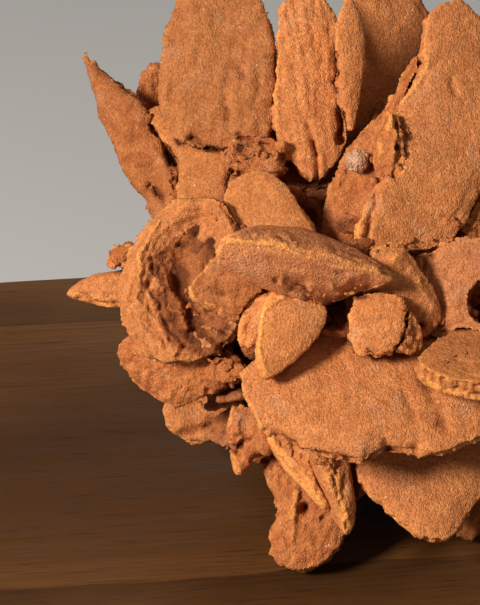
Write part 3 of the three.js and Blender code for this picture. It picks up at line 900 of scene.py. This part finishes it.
def sandstone(name, light, dark, patch, grit=1.0):
    """Cemented sand: softly mottled, with grains, painted sparkle glints, rust-brown painted shade
    in its hollows and cut marks, and painted highlights on thin rims and raised marks.
    """
    board = Board(name)
    slow = board.noise(14 * MM, 3)
    mottle = board.noise(3.2 * MM, 5, 0.62, 0.3)
    fine = board.noise(0.7 * MM, 3, 0.6)
    # Painted shade in cut marks above 0, painted highlight on raised marks below 0
    mark_shade_and_highlight = board.attribute("mark_shade_and_highlight")

    colour = board.blend(board.between(mottle, 0.34, 0.66), dark, light)
    colour = board.blend(board.between(slow, 0.52, 0.68, 0, 0.6), colour, patch)
    dusty = board.between(board.noise(8 * MM, 4), 0.56, 0.72, 0, 0.4)
    colour = board.blend(dusty, colour, DUST)
    # Painted highlight: bright orange along the rims' creases and on raised marks
    painted_highlight = board.attribute("painted_rim_highlight") * 0.9 - mark_shade_and_highlight * 1.1
    painted_highlight = board.between(painted_highlight * (0.6 + 0.8 * fine), 0.25, 0.8, 0, 0.8)
    colour = board.blend(painted_highlight, colour, RIM_HIGHLIGHT_ORANGE)
    # Painted shade: darker where a point is closed in or cut in, standing in for the shade there
    closed = board.attribute("hollow") + (mottle - 0.5) * 0.3
    closed = board.node("ShaderNodeMath", {"operation": "MAXIMUM"}, {0: closed, 1: mark_shade_and_highlight * 0.85})
    colour = board.blend(board.between(closed, 0.38, 0.80, 0, 0.88), colour, PAINTED_SHADE)
    colour = board.blend(board.between(closed, 0.70, 0.94, 0, 0.9), colour, DEEP_PAINTED_SHADE)

    inputs = {"Vector": board.place(), "Scale": 1 / SAND_GRAIN}
    grain_height = board.node("ShaderNodeTexVoronoi", {}, inputs)
    grain_tint = board.node("ShaderNodeTexVoronoi", {}, inputs, output=1)
    grain = board.node("ShaderNodeSeparateColor", {}, {0: grain_tint})
    shade = board.between(grain, 0.0, 1.0, 0.78, 1.16) * board.between(fine, 0.3, 0.7, 0.9, 1.08)
    # Lighter or darker per blade: partly its own colour, partly painted light and shade
    colour = board.scaled(colour, shade * board.attribute("tone_and_painted_light"))
    # Painted glints: sparkles of light on a few grains, which also get a lower roughness
    painted_glint = board.between(grain, 0.992, 0.998) * board.between(board.noise(6 * MM, 2), 0.48, 0.62)
    colour = board.blend(painted_glint * 0.4, colour, PAINTED_GLINT)

    height = (1 - grain_height) * (0.6 * grit) + fine + mottle * 0.5
    return board.finish({
        "Base Color": colour,
        "Roughness": 0.9 - painted_glint * 0.5,
        "Normal": board.bump(height, 0.3 * MM, 0.95),
        "Specular IOR Level": 0.15,
    })


def weathered_wood(name):
    """Dark warm brown wood: rings about a line below the board, pores, streaks and scuffs."""
    board = Board(name)
    spot = board.node("ShaderNodeTexCoord", output=3)
    turned = {"Vector": spot, "Location": (0, -0.03, 0.11), "Rotation": (0, 0.02, 0.03)}
    spot = board.node("ShaderNodeMapping", {}, turned | {"Scale": (0.05, 1, 1)})
    wobble = board.noise(60 * MM, 3, 0.5, 0.0, (0.15, 1, 1))
    rings = board.node(
        "ShaderNodeTexWave",
        {"wave_type": "RINGS", "rings_direction": "X", "wave_profile": "SAW"},
        {"Vector": spot, "Scale": 22.0, "Distortion": 2.5, "Detail": 3.0, "Detail Scale": 1.5,
         "Phase Offset": wobble * 4.0},
    )
    streak = board.noise(1.1 * MM, 4, 0.6, 0.0, (0.02, 1, 1))
    pores = board.noise(0.35 * MM, 2, 0.5, 0.0, (0.03, 1, 1))
    slow = board.noise(45 * MM, 3, 0.5, 0.0, (0.5, 1, 1))
    colour = board.blend(rings, rgb(0.050, 0.018, 0.004), rgb(0.130, 0.050, 0.012))
    colour = board.blend(board.between(streak, 0.35, 0.7, 0, 0.6), colour, rgb(0.075, 0.028, 0.007))
    colour = board.blend(board.between(slow, 0.45, 0.7, 0, 0.5), colour, rgb(0.150, 0.064, 0.018))
    open_pore = board.between(pores, 0.60, 0.72)
    colour = board.blend(open_pore * 0.7, colour, rgb(0.018, 0.006, 0.002))
    height = rings * 0.3 + streak * 0.6 - open_pore * 0.8
    return board.finish({
        "Base Color": colour,
        "Roughness": board.between(streak, 0.3, 0.7, 0.55, 0.72),
        "Normal": board.bump(height, 0.25 * MM, 0.7),
        "Specular IOR Level": 0.14,
    })


def plain_matt(name, colour):
    board = Board(name)
    return board.finish({"Base Color": colour, "Roughness": 0.9})


FINISHES = {
    "sandy_crystal": sandstone(
        "sandy_crystal_stone",
        rgb(0.63, 0.228, 0.074), rgb(0.51, 0.166, 0.050), rgb(0.55, 0.190, 0.068)
    ),
    "ochre_crystal": sandstone(
        "ochre_crystal_stone",
        rgb(0.60, 0.215, 0.066), rgb(0.52, 0.172, 0.049), rgb(0.55, 0.195, 0.070), 0.6
    ),
    "rust_crystal": sandstone(
        "rust_crystal_stone",
        rgb(0.55, 0.185, 0.057), rgb(0.40, 0.115, 0.033), rgb(0.50, 0.168, 0.060), 1.2
    ),
    "rose_crystal": sandstone(
        "rose_crystal_stone",
        rgb(0.58, 0.210, 0.075), rgb(0.46, 0.150, 0.052), rgb(0.49, 0.180, 0.078)
    ),
    "gritty_matrix": sandstone(
        "gritty_matrix_stone",
        rgb(0.46, 0.145, 0.046), rgb(0.26, 0.070, 0.022), rgb(0.40, 0.135, 0.056), 1.5
    ),
    "pebble": sandstone(
        "pebble_stone",
        rgb(0.68, 0.38, 0.23), rgb(0.50, 0.25, 0.14), rgb(0.60, 0.34, 0.22), 1.4
    ),
    "oiled_wood": weathered_wood("oiled_wood_grain"),
}


# ------------------------------------------------------------ making everything

stones = {}
for number, blade in enumerate(BLADES):
    stones[blade] = build_blade(blade, 7.3 * number)
stones["gritty_matrix"] = build_matrix("gritty_matrix")
stones["caught_pebble"] = build_pebble("caught_pebble")
crust = build_crust()
crumbs = build_crumbs([stones[blade] for blade in BLADES if is_display(blade)])
paint_crevice_shade([*stones.values(), crust, crumbs])
for node, piece in stones.items():
    finish_piece(piece, node, FINISHES[SLOT_OF[node]])
finish_piece(crust, "", FINISHES["gritty_matrix"])
finish_piece(crumbs, "", FINISHES["rust_crystal"])
finish_piece(build_slab("wooden_slab"), "wooden_slab", FINISHES["oiled_wood"])
bpy.data.objects.remove(blade_cross)


# ------------------------------------------------------------ floor, light and camera

bpy.ops.object.select_all(action="DESELECT")
bpy.ops.mesh.primitive_plane_add(size=6, location=(0, 0, SLAB_LOW[2] - 0.5 * MM))
floor = bpy.context.object
floor.name = "studio_floor"
floor.data.materials.append(plain_matt("studio_floor_paper", rgb(0.55, 0.54, 0.53)))


def area_light(name, place, size, watts, colour):
    light = bpy.data.lights.new(name, "AREA")
    light.size = size
    light.energy = watts
    light.color = colour
    lamp = bpy.data.objects.new(name, light)
    bpy.context.scene.collection.objects.link(lamp)
    lamp.location = HEART + place
    lamp.rotation_euler = (-place).to_track_quat("-Z", "Y").to_euler()


key_way = -0.90 * FACE_RIGHT + 0.27 * FACE_UP + 0.95 * FACE_OUT
area_light("key_light", 0.9 * key_way.normalized(), 0.20, 11.3, (1.0, 0.95, 0.88))
fill_way = 0.7 * FACE_RIGHT + 0.9 * FACE_UP + 0.6 * FACE_OUT
area_light("fill_light", 1.4 * fill_way.normalized(), 1.0, 1.7, (1.0, 0.96, 0.92))
back_way = 0.3 * FACE_RIGHT + 0.6 * FACE_UP - 0.9 * FACE_OUT
area_light("back_light", 1.4 * back_way.normalized(), 1.0, 6.0, (1.0, 0.97, 0.94))

world = bpy.data.worlds.new("pale_room")
bpy.context.scene.world = world
world.use_nodes = True
world.node_tree.nodes["Background"].inputs["Color"].default_value = rgb(1.0, 0.97, 0.93)
world.node_tree.nodes["Background"].inputs["Strength"].default_value = 0.12

camera_data = bpy.data.cameras.new("camera")
camera_data.sensor_width = SENSOR
camera_data.lens = SENSOR * VIEW_DISTANCE / VIEW_HEIGHT
camera_data.clip_start = 0.01
camera_data.clip_end = 20
camera = bpy.data.objects.new("camera", camera_data)
bpy.context.scene.collection.objects.link(camera)
camera.location = CAMERA_PLACE
camera.rotation_euler = FACE_OUT.to_track_quat("Z", "Y").to_euler()
bpy.context.scene.camera = camera
bpy.context.scene.view_settings.view_transform = "Standard"
